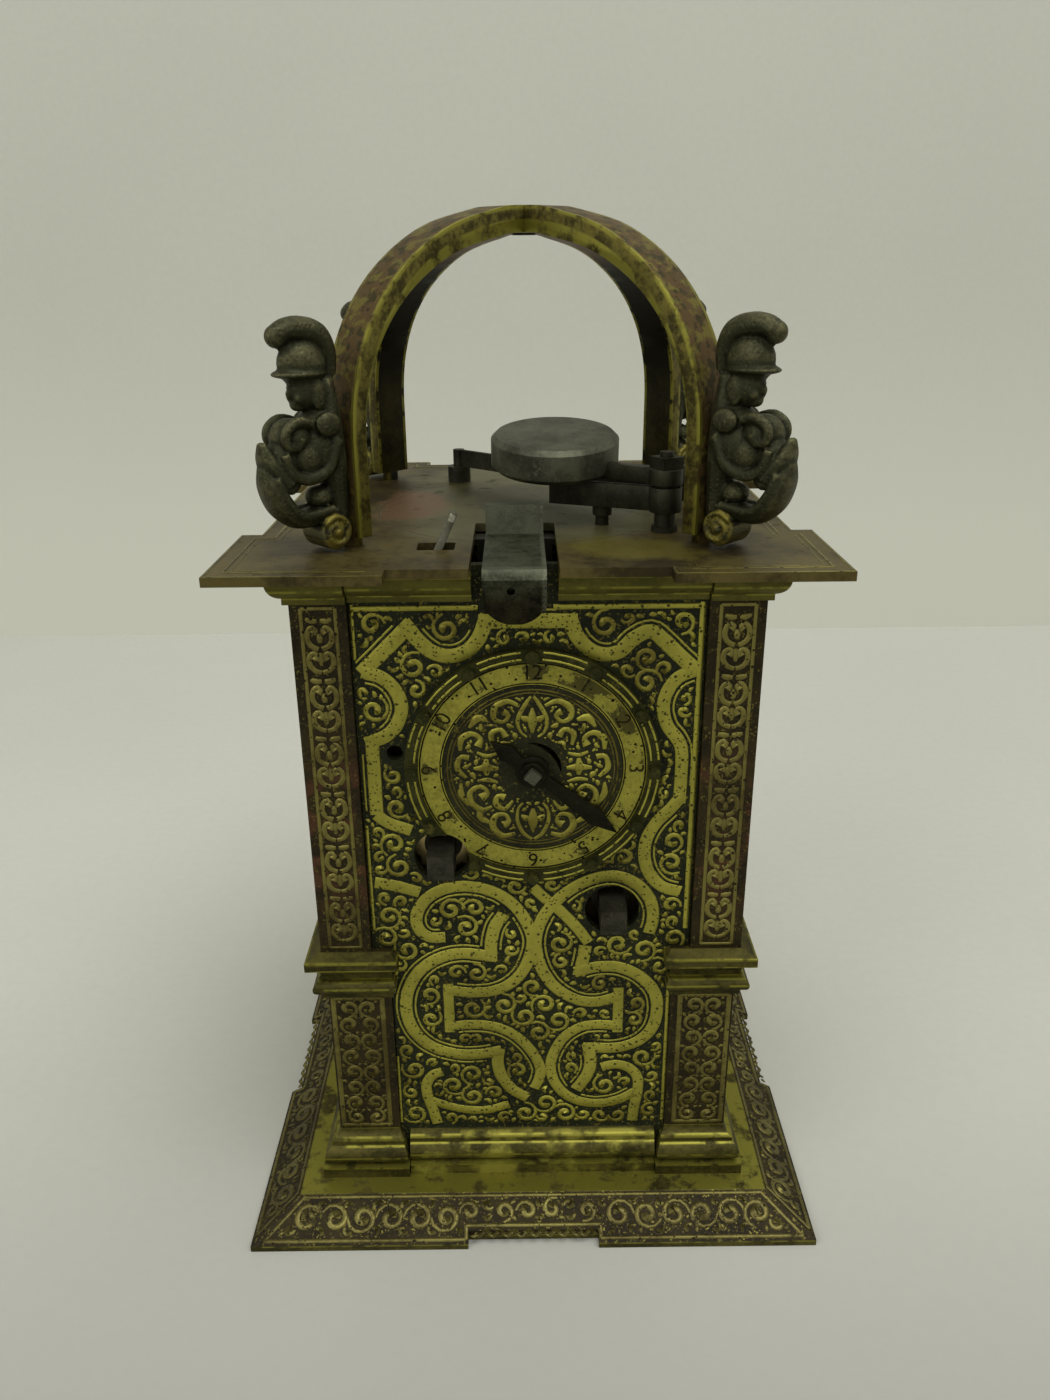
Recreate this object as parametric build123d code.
"""Square table clock with a four-rib handle, corner figures and a plated movement.

Millimetres, +Z up. The origin is the centre of the base on the surface the clock stands on.
The dial looks along -Y. Anything drawn flat and set upright is drawn as seen from the front.
"""

import os
from math import asin, atan2, cos, degrees, hypot, pi, radians, sin, sqrt

from build123d import *

# Overall sizes
BODY_WIDTH = 71.8
BODY_HEIGHT = 122.0
HANDLE_RISE = 48.5

# Fits
PANEL_GAP = 0.15
BEARING_GAP = 0.06
SLOT_GAP = 0.1
PLAY = 0.3
RING_SEAM = 0.03

# Base
SKIRT_RUN = 7.8
SKIRT_FLANGE = 6.4
SKIRT_RIM = 1.2
SKIRT_WALL = 1.8
SKIRT_HEIGHT = 5.2
SKIRT_FLANGE_INNER = 5.5
SKIRT_NOTCH_WIDTH = 23.2
SKIRT_NOTCH_DEPTH = 2.0
BOTTOM_PLATE_THICKNESS = 1.6
BOTTOM_PLATE_MARGIN = 2.6
CASE_SCREW_RADIUS = 1.2
CASE_SCREW_HEAD = 2.2
CASE_SCREW_HEAD_HEIGHT = 1.1
CASE_SCREW_LENGTH = 9.0
CASE_SCREW_OFFSET = 2.0

# Corner posts
PILASTER_WIDTH = 8.6
DIE_SETBACK = 0.5
DIE_WIDTH = 11.0
BASE_BLOCK_HEIGHT = 8.8
DIE_HEIGHT = 29.8
CAP_HEIGHT = 9.4
CORNICE_HEIGHT = 5.4
RETURN_SHARE = 0.52

# Mouldings, each a list of (height, projection, bulge of the stretch up to this point)
BASE_BLOCK_STEPS = ((0, 3.2, 0), (2.2, 3.2, 0), (2.2, 1.5, 0), (6.0, 1.5, 1.3), (7.0, 1.5, 0), (8.8, 0, -0.5))
CAP_STEPS = ((0, 0.8, 0), (1.2, 0.8, 0), (1.2, 1.2, 0), (3.8, 1.2, 1.0), (3.8, 0.7, 0), (7.0, 2.3, -0.5),
             (7.0, 3.05, 0), (8.6, 3.05, 0), (9.4, 0.8, 0))
CORNICE_STEPS = ((0, 0.8, 0), (1.0, 0.8, 0), (4.2, 2.7, 0.7), (4.2, 3.0, 0), (5.4, 3.0, 0))

# Panels
PANEL_SETBACK = 1.0
PANEL_THICKNESS = 1.6
PANEL_MOULDING_REACH = 3.4
WINDING_HOLE_RADIUS = 4.6
DIAL_HOLE_RADIUS = 5.2
SCREW_HOLE_RADIUS = 1.3
SCREW_HOLE_POSITION = (-21.4, 90.0)

# Top plate
TOP_PLATE_THICKNESS = 1.4
TOP_PLATE_OVERHANG = 9.8
TOP_PLATE_EAR_INSET = 20.4
TOP_PLATE_RECESS = 3.3

# Handle
RIB_WIDTH = 7.0
RIB_LEG_THICKNESS = 2.4
RIB_CROWN_THICKNESS = 4.0
RIB_LEG_INSET = 11.470267
RIB_LEG_HEIGHT = 15.0
RIB_FULLNESS = 2.2
RIB_CURVE_STEPS = 8
RIB_FOOT_LIFT = 1.6
TENON_RADIUS = 1.45
TENON_LENGTH = 3.6
CROWN_RIVET_RADIUS = 1.3
CROWN_RIVET_HEAD = 1.9
CROWN_RIVET_HEAD_HEIGHT = 0.3

# Corner figures
FIGURE_HEIGHT = 33.6
FIGURE_WIDTH = 6.4
VOLUTE_RADIUS = 3.0
FIGURE_LEAF = ((1.0, 4.6), (4.6, 5.8), (8.6, 4.6), (12.4, 8.0), (13.9, 11.3), (14.3, 13.8), (13.0, 13.6),
               (14.0, 16.9), (12.0, 16.4), (9.0, 18.0), (4.0, 15.0), (1.0, 15.0))
FIGURE_OPENING = ((9.4, 9.9), (9.7, 8.3), (8.0, 7.1), (5.6, 8.2), (6.3, 9.9))
FIGURE_CHEST = ((1.4, 12.6), (1.4, 19.8), (4.0, 20.9), (7.7, 20.4), (11.0, 19.0), (12.6, 16.6), (12.2, 13.4),
                (9.4, 11.0), (4.5, 10.8))
FIGURE_HEAD = ((3.0, 26.8), (2.6, 22.6), (3.6, 19.8), (6.2, 19.8), (7.0, 21.0), (8.7, 21.8), (8.8, 22.8),
               (9.8, 23.3), (9.1, 24.6), (9.6, 25.4), (9.4, 26.8))
FIGURE_HELMET = ((2.2, 26.0), (2.2, 28.6), (3.2, 30.6), (5.4, 31.8), (8.2, 31.4), (9.8, 29.8), (10.6, 27.6),
                 (10.6, 26.0))
FIGURE_COMB = ((1.8, 26.6), (2.4, 30.0), (3.7, 32.0), (5.8, 33.4), (8.0, 34.0), (10.4, 33.8), (11.8, 32.6),
               (11.7, 31.2), (10.4, 30.4), (9.4, 31.0), (5.6, 31.0), (3.4, 26.6))

# Front latch
LATCH_X = -2.0
LATCH_WIDTH = 9.2
LATCH_THICKNESS = 1.4
LATCH_SIDE_GAP = 1.9
LATCH_PIVOT_Y = -17.0
LATCH_PIVOT_DROP = 2.8
LATCH_HUB_RADIUS = 1.6
LATCH_PIN_RADIUS = 0.7
LATCH_THUMB_Y = -20.4
LATCH_THUMB_HEIGHT = 4.4
LATCH_BEND_REACH = 0.8
LATCH_HOOK_DROP = 9.2
LATCH_HOOK_LEAN = 4.6
LATCH_SLOT_BACK = -13.6
LATCH_EAR_WIDTH = 1.4

# Release lever on the top plate
RELEASE_X = -14.0
RELEASE_Y = -29.0
RELEASE_HEIGHT = 6.2
RELEASE_LEAN = 25.0
RELEASE_THICKNESS = 1.1
RELEASE_DEPTH = 4.4
RELEASE_DROP = 3.4
RELEASE_SWING = 12.0

# Hammer
HAMMER_POST = (22.0, -20.2)
HAMMER_POST_RADIUS = 1.65
HAMMER_POST_HEIGHT = 12.6
HAMMER_FLANGE_RADIUS = 2.1
HAMMER_HUB_RADIUS = 2.6
HAMMER_DISC_RADIUS = 10.6
HAMMER_DISC_THICKNESS = 5.6
HAMMER_DISC_CENTRE = (4.8, -9.0, 11.2)
HAMMER_DISC_TILT = 8.0
HAMMER_COCK_HEIGHT = 3.6
HAMMER_COCK_BAR = 3.9
HAMMER_COCK_FOOT = (12.4, -14.8)
HAMMER_COCK_END = (4.0, -12.6)
COCK_PEG_RADIUS = 1.1
SPRING_FOOT = (-13.0, 24.0)
HAMMER_ARBOR_DEPTH = 37.5
HAMMER_HUB_HEIGHT = 2.6
HAMMER_STUD_RADIUS = 1.1
HAMMER_TAIL_END = (27.6, -14.6)
HAMMER_TAIL_PIN = 0.6

# Dial
DIAL_HEIGHT = 87.3
DIAL_ACROSS = 0.5
TOUCH_RING_RADIUS = 20.4
TOUCH_RING_WIDTH = 2.1
TOUCH_RING_THICKNESS = 1.5
TOUCH_KNOB_RADIUS = 0.95
TOUCH_KNOB_HEIGHT = 1.1
CHAPTER_RING_INNER = 14.5
CHAPTER_RING_THICKNESS = 0.9
ALARM_DISC_THICKNESS = 0.8
CRESCENT_OUTER = 4.6
CRESCENT_INNER = 7.2
CRESCENT_SHIFT = 3.5
CRESCENT_ANGLE = 45
DIAL_ARBOR_RADIUS = 1.5
HAND_TIP_GAP = 0.8
HAND_TAIL = 8.6
HAND_ANGLE = -39.0
HAND_THICKNESS = 0.8
HAND_HUB_RADIUS = 2.7
HAND_WAIST = 0.95
HAND_SHOULDER = 1.5
HOURS = 12

# Movement frame
FRAME_PLATE = 1.6
FRAME_FRONT = -26.0
FRAME_BACK = 22.0
FRAME_SIDE_GAP = 0.4
FRAME_TOP_GAP = 6.0
FRAME_LUG_WIDTH = 5.0
PILLAR_RADIUS = 1.9
PILLAR_INSET = 6.4
PIVOT_RADIUS = 0.6

# Wheel train; modules in millimetres
GOING_CENTRE = (-14.6, 71.2)
STRIKE_CENTRE = (13.8, 60.4)
GREAT_MODULE = 0.55
SECOND_MODULE = 0.46
THIRD_MODULE = 0.40
CONTRATE_MODULE = 0.35
COUNT_MODULE = 0.34
WHEEL_TEETH = 48
PINION_LEAVES = 6
REPORT_TEETH = 12
HOUR_TEETH = 36
COUNT_TEETH = 78
ESCAPE_TEETH = 15
RATCHET_TEETH = 14
LIFTING_PINS = 6
WHEEL_THICKNESS = 1.3
BARREL_RADIUS = 11.4
BARREL_LENGTH = 13.5
BARREL_WALL = 0.9
BARREL_FRONT = -23.4
SPRING_THICKNESS = 0.7
SPRING_TURNS = 3
WINDING_SQUARE = 4.3
WINDING_SQUARE_PROUD = 4.2
ESCAPE_RADIUS = 6.0
BALANCE_RADIUS = 11.5
VERGE_RADIUS = 0.7
PALLET_REACH = 2.0
FLY_RADIUS = 6.0
HOOP_FRONT = 8.0
FLY_FRONT = 12.0
COUNT_STUD_RADIUS = 1.4
ESCAPE_PHASE = 3.0
ESCAPE_PINION_PHASE = 0.0
ARBOR_RADIUS = 0.65
BARREL_ARBOR_RADIUS = 3.15
BARREL_ARBOR_REAR_RADIUS = 2.0
REPORT_PIPE_RADIUS = 4.1
REPORT_FRONT = -30.8
RATCHET_FRONT = FRAME_BACK + FRAME_PLATE + 0.4
RATCHET_RADIUS = 6.4
RATCHET_THICKNESS = 1.3
GREAT_FRONT = BARREL_FRONT + BARREL_LENGTH
SECOND_FRONT = -5.0
CONTRATE_FRONT = 2.0
CONTRATE_TIP = 5.4
COUNT_FRONT = 27.0
BALANCE_FRONT = 27.0
BALANCE_THICKNESS = 1.1

SECOND_ANGLE = 101.0
CONTRATE_ANGLE = 74.0
PIN_WHEEL_ANGLE = 60.5
HOOP_ANGLE = 113.4
FLY_ANGLE = 79.0
COUNT_ANGLE = 205.0
ESCAPE_BAND = 3.2
ESCAPE_TOOTH = 2.2
ESCAPE_TIP_X = 3.0
PIN_WHEEL_FRONT = -5.0

# Places worked out from the sizes above
HALF = BODY_WIDTH / 2
DIE_HALF = HALF - DIE_SETBACK
DIE_INNER = DIE_HALF - DIE_WIDTH
PILASTER_INNER = HALF - PILASTER_WIDTH
SKIRT_INNER = HALF + SKIRT_FLANGE
SKIRT_HALF = SKIRT_INNER + SKIRT_RUN
PLATE_TOP = BODY_HEIGHT
PLATE_UNDER = BODY_HEIGHT - TOP_PLATE_THICKNESS
CORNICE_FOOT = PLATE_UNDER - CORNICE_HEIGHT
CAP_FOOT = SKIRT_HEIGHT + BASE_BLOCK_HEIGHT + DIE_HEIGHT
CAP_TOP = CAP_FOOT + CAP_HEIGHT
FLOOR_TOP = SKIRT_HEIGHT - SKIRT_WALL
PANEL_FACE = HALF - PANEL_SETBACK
PANEL_BACK = PANEL_FACE - PANEL_THICKNESS
PLATE_HALF = HALF + TOP_PLATE_OVERHANG
CROWN = PLATE_TOP + HANDLE_RISE
RIB_LEG_RADIUS = HALF * sqrt(2) - RIB_LEG_INSET
FRAME_HALF = DIE_INNER - FRAME_SIDE_GAP
FRAME_TOP = PLATE_UNDER - FRAME_TOP_GAP
FRONT_FACE = -PANEL_FACE
DIAL_CENTRE = (DIAL_ACROSS, DIAL_HEIGHT)
CHAPTER_RING_OUTER = TOUCH_RING_RADIUS - TOUCH_RING_WIDTH - RING_SEAM
HAND_TIP = TOUCH_RING_RADIUS - TOUCH_RING_WIDTH - HAND_TIP_GAP


def polar(centre, radius, angle):
    """The point at an angle in degrees about a centre."""
    return (centre[0] + radius * cos(radians(angle)), centre[1] + radius * sin(radians(angle)))


def mesh_phase(phase, teeth, angle, other_teeth):
    """The phase of a wheel that meshes with another one lying at an angle from it."""
    passed = (angle - phase) * teeth / 360
    return angle + 180 - (0.5 - passed) * 360 / other_teeth


def spacing(teeth, leaves, module):
    """The distance between two centres in mesh."""
    return (teeth + leaves) * module / 2


# Wheel centres and phases
SECOND_CENTRE = polar(GOING_CENTRE, spacing(WHEEL_TEETH, PINION_LEAVES, GREAT_MODULE), SECOND_ANGLE)
CONTRATE_CENTRE = polar(SECOND_CENTRE, spacing(WHEEL_TEETH, PINION_LEAVES, SECOND_MODULE), CONTRATE_ANGLE)
PIN_WHEEL_CENTRE = polar(STRIKE_CENTRE, spacing(WHEEL_TEETH, PINION_LEAVES, GREAT_MODULE), PIN_WHEEL_ANGLE)
HOOP_CENTRE = polar(PIN_WHEEL_CENTRE, spacing(WHEEL_TEETH, PINION_LEAVES, SECOND_MODULE), HOOP_ANGLE)
FLY_CENTRE = polar(HOOP_CENTRE, spacing(WHEEL_TEETH, PINION_LEAVES, THIRD_MODULE), FLY_ANGLE)
COUNT_CENTRE = polar(PIN_WHEEL_CENTRE, spacing(COUNT_TEETH, PINION_LEAVES, COUNT_MODULE), COUNT_ANGLE)

REPORT_DISTANCE = hypot(DIAL_CENTRE[0] - GOING_CENTRE[0], DIAL_CENTRE[1] - GOING_CENTRE[1])
REPORT_ANGLE = degrees(atan2(DIAL_CENTRE[1] - GOING_CENTRE[1], DIAL_CENTRE[0] - GOING_CENTRE[0]))
REPORT_MODULE = 2 * REPORT_DISTANCE / (REPORT_TEETH + HOUR_TEETH)

SECOND_PINION_PHASE = mesh_phase(0, WHEEL_TEETH, SECOND_ANGLE, PINION_LEAVES)
CONTRATE_PINION_PHASE = mesh_phase(0, WHEEL_TEETH, CONTRATE_ANGLE, PINION_LEAVES)
HOUR_PHASE = mesh_phase(REPORT_ANGLE, REPORT_TEETH, REPORT_ANGLE, HOUR_TEETH)
PIN_PINION_PHASE = mesh_phase(0, WHEEL_TEETH, PIN_WHEEL_ANGLE, PINION_LEAVES)
HOOP_PINION_PHASE = mesh_phase(0, WHEEL_TEETH, HOOP_ANGLE, PINION_LEAVES)
FLY_PINION_PHASE = mesh_phase(0, WHEEL_TEETH, FLY_ANGLE, PINION_LEAVES)
COUNT_PHASE = mesh_phase(0, PINION_LEAVES, COUNT_ANGLE, COUNT_TEETH)
ESCAPE_LEAF_TIP = PINION_LEAVES * CONTRATE_MODULE / 2 + 0.55 * CONTRATE_MODULE
ESCAPE_Y = CONTRATE_TIP + ESCAPE_LEAF_TIP - 0.5
ESCAPE_Z = CONTRATE_CENTRE[1]
ESCAPE_PINION_X = CONTRATE_CENTRE[0] + WHEEL_TEETH * CONTRATE_MODULE / 2
VERGE_X = ESCAPE_TIP_X + 1.85
ESCAPE_LEFT_END = ESCAPE_PINION_X - 3.4
COUNT_NOTCH_STEP = 360 / COUNT_TEETH


def block(low, high):
    """A box between two opposite corners."""
    size = [b - a for a, b in zip(low, high)]
    centre = [(a + b) / 2 for a, b in zip(low, high)]
    return Pos(*centre) * Box(*size)


def upright(sketch, front, thickness):
    """A sketch drawn as seen from the front, with its thickness behind the plane y = front."""
    return Pos(0, front, 0) * extrude(Plane.XZ * sketch, -thickness)


def rod_y(centre, radius, front, back):
    """A round bar along Y between two depths."""
    return upright(Pos(*centre) * Circle(radius), front, back - front)


def rod_z(place, radius, bottom, top):
    """A round bar along Z between two heights."""
    return Pos(place[0], place[1], (bottom + top) / 2) * Cylinder(radius, top - bottom)


def moulded_side(steps, face, share, foot):
    """Edges and points up one moulded side; share scales the projection and its sign gives the side."""
    edges = []
    points = [(face + share * projection, foot + height) for height, projection, _ in steps]
    for start, end, (_, _, bulge) in zip(points, points[1:], steps[1:]):
        length = hypot(end[0] - start[0], end[1] - start[1])
        if length < 1e-6:
            continue
        if bulge and share:
            side = bulge * share / length
            middle = ((start[0] + end[0]) / 2 + (end[1] - start[1]) * side,
                      (start[1] + end[1]) / 2 - (end[0] - start[0]) * side)
            edges.append(ThreePointArc(start, middle, end))
        else:
            edges.append(Line(start, end))
    return edges, points[0], points[-1]


def stacked(sections, inner):
    """Edges up the outer or the inner side of stacked (steps, outer face, inner face, inner share, foot)."""
    edges, ends = [], []
    for steps, outer_face, inner_face, share, foot in sections:
        run, start, end = moulded_side(steps, inner_face if inner else outer_face, -share if inner else 1, foot)
        if ends and hypot(ends[-1][0] - start[0], ends[-1][1] - start[1]) > 1e-6:
            edges.append(Line(ends[-1], start))
        edges += run
        ends += [start, end]
    return edges, ends[0], ends[-1]


def silhouette(sections):
    """The closed face between the outer and inner sides of stacked sections."""
    outer, outer_foot, outer_top = stacked(sections, False)
    inner, inner_foot, inner_top = stacked(sections, True)
    return make_face(outer + inner + [Line(outer_top, inner_top), Line(outer_foot, inner_foot)])


def plain(height):
    """Steps of a stretch with no moulding."""
    return ((0, 0, 0), (height, 0, 0))


def four_quarters(piece):
    """The same piece in the front-left, front-right, back-left and back-right corners."""
    right = mirror(piece, Plane.XZ)
    return {
        "front_left": mirror(right, Plane.YZ),
        "front_right": right,
        "back_left": mirror(piece, Plane.YZ),
        "back_right": piece,
    }


def four_sides(piece):
    """The front piece turned to the four sides."""
    turns = {"front": 0, "right": 90, "back": 180, "left": 270}
    return {side: Rot(0, 0, turn) * piece for side, turn in turns.items()}


def base_skirt():
    """The sloping skirt cast in one piece, with a shallow notch in the middle of each lower edge."""
    flange = HALF - SKIRT_FLANGE_INNER
    foot = section_square(SKIRT_HALF, 0)
    rim = section_square(SKIRT_HALF, SKIRT_RIM)
    top = section_square(SKIRT_INNER, SKIRT_HEIGHT)
    skirt = extrude(foot, SKIRT_RIM) + loft([rim, top])
    under = section_square(SKIRT_HALF - SKIRT_WALL, 0)
    hollow = section_square(SKIRT_INNER - SKIRT_WALL / 2, FLOOR_TOP)
    skirt -= loft([under, hollow])
    skirt -= block((-flange, -flange, 0), (flange, flange, SKIRT_HEIGHT + 1))
    for turn in (0, 90, 180, 270):
        notch = block((-SKIRT_NOTCH_WIDTH / 2, -SKIRT_HALF - 1, -1),
                      (SKIRT_NOTCH_WIDTH / 2, -SKIRT_HALF + SKIRT_NOTCH_DEPTH, SKIRT_HEIGHT))
        skirt -= Rot(0, 0, turn) * notch
    for place in screw_places():
        skirt -= rod_z(place, CASE_SCREW_RADIUS + BEARING_GAP, 0, SKIRT_HEIGHT + 1)
    return skirt


def section_square(half, level):
    """A square face about the axis at a level."""
    return Pos(0, 0, level) * Rectangle(2 * half, 2 * half)


def frame_lugs():
    """The places of the tenons that stand the movement on the bottom plate."""
    reach = FRAME_HALF * 0.62
    return [(side * reach, depth) for side in (-1, 1) for depth in (FRAME_FRONT, FRAME_BACK)]


def bottom_plate():
    """The floor plate under the skirt's flange, slotted for the movement's tenons."""
    half = SKIRT_INNER - BOTTOM_PLATE_MARGIN
    under = FLOOR_TOP - BOTTOM_PLATE_THICKNESS
    plate = block((-half, -half, under), (half, half, FLOOR_TOP))
    for x, y in frame_lugs():
        reach = FRAME_LUG_WIDTH / 2 + SLOT_GAP
        plate -= block((x - reach, y - SLOT_GAP, 0), (x + reach, y + FRAME_PLATE + SLOT_GAP, SKIRT_HEIGHT))
    for place in screw_places():
        plate -= rod_z(place, CASE_SCREW_RADIUS + BEARING_GAP, 0, SKIRT_HEIGHT)
    return plate


def post_screw_place():
    """The X and Y of a case screw, far enough out to pass through the skirt's flange."""
    return (DIE_HALF + DIE_INNER) / 2 + CASE_SCREW_OFFSET


def screw_places():
    """The case screws stand under the middle of each post."""
    place = post_screw_place()
    return [(sx * place, sy * place) for sx in (-1, 1) for sy in (-1, 1)]


def case_screws():
    """Four screws that come up through the bottom plate and the skirt into the posts."""
    under = FLOOR_TOP - BOTTOM_PLATE_THICKNESS
    screws = []
    for place in screw_places():
        screw = rod_z(place, CASE_SCREW_HEAD, under - CASE_SCREW_HEAD_HEIGHT, under)
        screw += rod_z(place, CASE_SCREW_RADIUS, under, under + CASE_SCREW_LENGTH)
        screws.append(screw)
    return screws


def corner_post():
    """A back-right post: pedestal, cap, pilaster and cornice block in one casting."""
    sections = (
        (BASE_BLOCK_STEPS, DIE_HALF, DIE_INNER, RETURN_SHARE, SKIRT_HEIGHT),
        (plain(DIE_HEIGHT), DIE_HALF, DIE_INNER, 0, SKIRT_HEIGHT + BASE_BLOCK_HEIGHT),
        (CAP_STEPS, DIE_HALF, DIE_INNER, RETURN_SHARE, CAP_FOOT),
        (plain(CORNICE_FOOT - CAP_TOP), HALF, PILASTER_INNER, 0, CAP_TOP),
        (CORNICE_STEPS, HALF, PILASTER_INNER, 0, CORNICE_FOOT),
    )
    face = silhouette(sections)
    depth = SKIRT_INNER + 1
    along_y = extrude(Plane.XZ * face, -depth)
    along_x = extrude(Plane.YZ * face, depth)
    post = along_x & along_y
    inner_low = block((0, 0, 0), (DIE_INNER, PANEL_FACE, CAP_TOP))
    post -= inner_low + mirror(inner_low, Plane((0, 0, 0), x_dir=(0, 0, 1), z_dir=(1, -1, 0)))
    place = post_screw_place()
    post -= rod_z((place, place), CASE_SCREW_RADIUS + BEARING_GAP, 0, SKIRT_HEIGHT + CASE_SCREW_LENGTH)
    tenon = tenon_place()
    post -= rod_z((tenon, tenon), TENON_RADIUS + BEARING_GAP, CORNICE_FOOT, PLATE_TOP)
    return post


def panel_moulding(steps, width, foot, reach_share):
    """A moulding across a panel, drawn from the side and seated on the panel's face."""
    share = PANEL_MOULDING_REACH / max(projection for _, projection, _ in steps)
    edges, start, end = moulded_side(steps, 0, share * reach_share, foot)
    edges += [Line(end, (-0.2, end[1])), Line((-0.2, end[1]), (-0.2, start[1])), Line((-0.2, start[1]), start)]
    face = make_face(edges)
    bar = Pos(-width / 2, 0, 0) * extrude(Plane.YZ * face, width)
    return Pos(0, FRONT_FACE, 0) * mirror(bar, Plane.XZ)


def panel():
    """A plate between two posts, narrower between the pedestals, with its base moulding and cornice."""
    low = 2 * (DIE_INNER - PANEL_GAP)
    high = 2 * (PILASTER_INNER - PANEL_GAP)
    joint = CAP_TOP + PANEL_GAP
    lower = block((-low / 2, FRONT_FACE, SKIRT_HEIGHT), (low / 2, -PANEL_BACK, joint))
    upper = block((-high / 2, FRONT_FACE, joint), (high / 2, -PANEL_BACK, PLATE_UNDER))
    returns = max(projection for _, projection, _ in BASE_BLOCK_STEPS) * RETURN_SHARE
    foot_width = low - 2 * returns
    foot = panel_moulding(BASE_BLOCK_STEPS, foot_width, SKIRT_HEIGHT, 0.85)
    cornice = panel_moulding(CORNICE_STEPS, high, CORNICE_FOOT, 0.9)
    return lower + upper + foot + cornice


def front_panel():
    """The dial panel: winding holes, dial arbor hole, a screw hole and the latch's slot."""
    plate = panel()
    for centre in (GOING_CENTRE, STRIKE_CENTRE):
        plate -= rod_y(centre, WINDING_HOLE_RADIUS, -SKIRT_HALF, -PANEL_BACK + 1)
    plate -= rod_y(DIAL_CENTRE, DIAL_HOLE_RADIUS, -SKIRT_HALF, -PANEL_BACK + 1)
    plate -= rod_y(SCREW_HOLE_POSITION, SCREW_HOLE_RADIUS, -SKIRT_HALF, -PANEL_BACK + 1)
    reach = LATCH_WIDTH / 2 + LATCH_SIDE_GAP
    plate -= block((LATCH_X - reach, -SKIRT_HALF, CORNICE_FOOT), (LATCH_X + reach, FRONT_FACE, PLATE_TOP))
    return plate


def tenon_place():
    """The X and Y of the middle of a handle leg."""
    return (RIB_LEG_RADIUS - RIB_LEG_THICKNESS / 2) / sqrt(2)


def top_plate():
    """The top plate, with eared corners, the latch's slot and the holes of what stands on it."""
    ear = TOP_PLATE_EAR_INSET
    edge = PLATE_HALF
    recess = PLATE_HALF - TOP_PLATE_RECESS
    quarter = [(ear, -recess), (ear, -edge), (edge, -edge), (edge, -ear), (recess, -ear)]
    points = []
    for turn in range(4):
        points += [tuple(Vector(*point).rotate(Axis.Z, 90 * turn))[:2] for point in quarter]
    plate = Pos(0, 0, PLATE_UNDER) * extrude(make_face(Polyline(*points, close=True)), TOP_PLATE_THICKNESS)
    reach = LATCH_WIDTH / 2 + LATCH_SIDE_GAP
    plate -= block((LATCH_X - reach, -edge, 0), (LATCH_X + reach, LATCH_SLOT_BACK, PLATE_TOP + 1))
    for sx in (-1, 1):
        for sy in (-1, 1):
            place = (sx * tenon_place(), sy * tenon_place())
            plate -= rod_z(place, TENON_RADIUS + BEARING_GAP, 0, PLATE_TOP + 1)
    plate -= rod_z(HAMMER_POST, HAMMER_POST_RADIUS + BEARING_GAP, 0, PLATE_TOP + 1)
    plate -= rod_z(HAMMER_COCK_FOOT, COCK_PEG_RADIUS + BEARING_GAP, 0, PLATE_TOP + 1)
    plate -= rod_z(SPRING_FOOT, COCK_PEG_RADIUS + BEARING_GAP, 0, PLATE_TOP + 1)
    lean = RELEASE_LEAN + RELEASE_SWING
    side = RELEASE_THICKNESS / 2 + TOP_PLATE_THICKNESS * sin(radians(lean)) + SLOT_GAP + 1.4
    depth = RELEASE_DEPTH / 2 + SLOT_GAP
    plate -= block((RELEASE_X - side, RELEASE_Y - depth, 0), (RELEASE_X + side, RELEASE_Y + depth, PLATE_TOP + 1))
    return plate


def crown_curve(radius, rise):
    """A quarter of a slightly squared ellipse from the top of a leg to the crown."""
    points = []
    for step in range(RIB_CURVE_STEPS + 1):
        turn = radians(90 * step / RIB_CURVE_STEPS)
        points.append((radius * cos(turn) ** (2 / RIB_FULLNESS),
                       PLATE_TOP + RIB_LEG_HEIGHT + rise * sin(turn) ** (2 / RIB_FULLNESS)))
    return Spline(*points, tangents=((0, 1), (-1, 0)))


def rib_profile():
    """Half of an arch seen square on: an upright leg that runs into the crown curve."""
    spring = PLATE_TOP + RIB_LEG_HEIGHT
    foot = PLATE_TOP + RIB_FOOT_LIFT
    outer = RIB_LEG_RADIUS
    inner = RIB_LEG_RADIUS - RIB_LEG_THICKNESS
    rise = CROWN - spring
    return make_face([
        Line((outer, foot), (outer, spring)),
        crown_curve(outer, rise),
        Line((0, CROWN), (0, CROWN - RIB_CROWN_THICKNESS)),
        crown_curve(inner, rise - RIB_CROWN_THICKNESS),
        Line((inner, spring), (inner, foot)),
        Line((inner, foot), (outer, foot)),
    ])


def arch(over):
    """One of the two arches; they are halved together where they cross, this one over or under."""
    half = extrude(Plane.XZ * rib_profile(), RIB_WIDTH / 2, both=True)
    band = half + mirror(half, Plane.YZ)
    middle = CROWN - RIB_CROWN_THICKNESS / 2
    reach = RIB_WIDTH / 2
    span = (-reach, -reach), (reach, reach)
    if over:
        band -= block((*span[0], PLATE_TOP), (*span[1], middle))
    else:
        band -= block((*span[0], middle), (*span[1], CROWN + 1))
    band -= rod_z((0, 0), CROWN_RIVET_RADIUS, PLATE_TOP, CROWN + 1)
    leg = RIB_LEG_RADIUS - RIB_LEG_THICKNESS / 2
    for sign in (-1, 1):
        band += rod_z((sign * leg, 0), RIB_LEG_THICKNESS / 2, PLATE_TOP, PLATE_TOP + RIB_FOOT_LIFT)
        band += rod_z((sign * leg, 0), TENON_RADIUS, PLATE_TOP - TENON_LENGTH, PLATE_TOP + RIB_FOOT_LIFT)
    return Rot(0, 0, 45 if over else -45) * band


def crown_rivet():
    """The rivet that holds the two arches together where they cross."""
    foot = CROWN - RIB_CROWN_THICKNESS
    return rod_z((0, 0), CROWN_RIVET_RADIUS, foot, CROWN) + rod_z((0, 0), CROWN_RIVET_HEAD, foot - CROWN_RIVET_HEAD_HEIGHT, foot)


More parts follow.
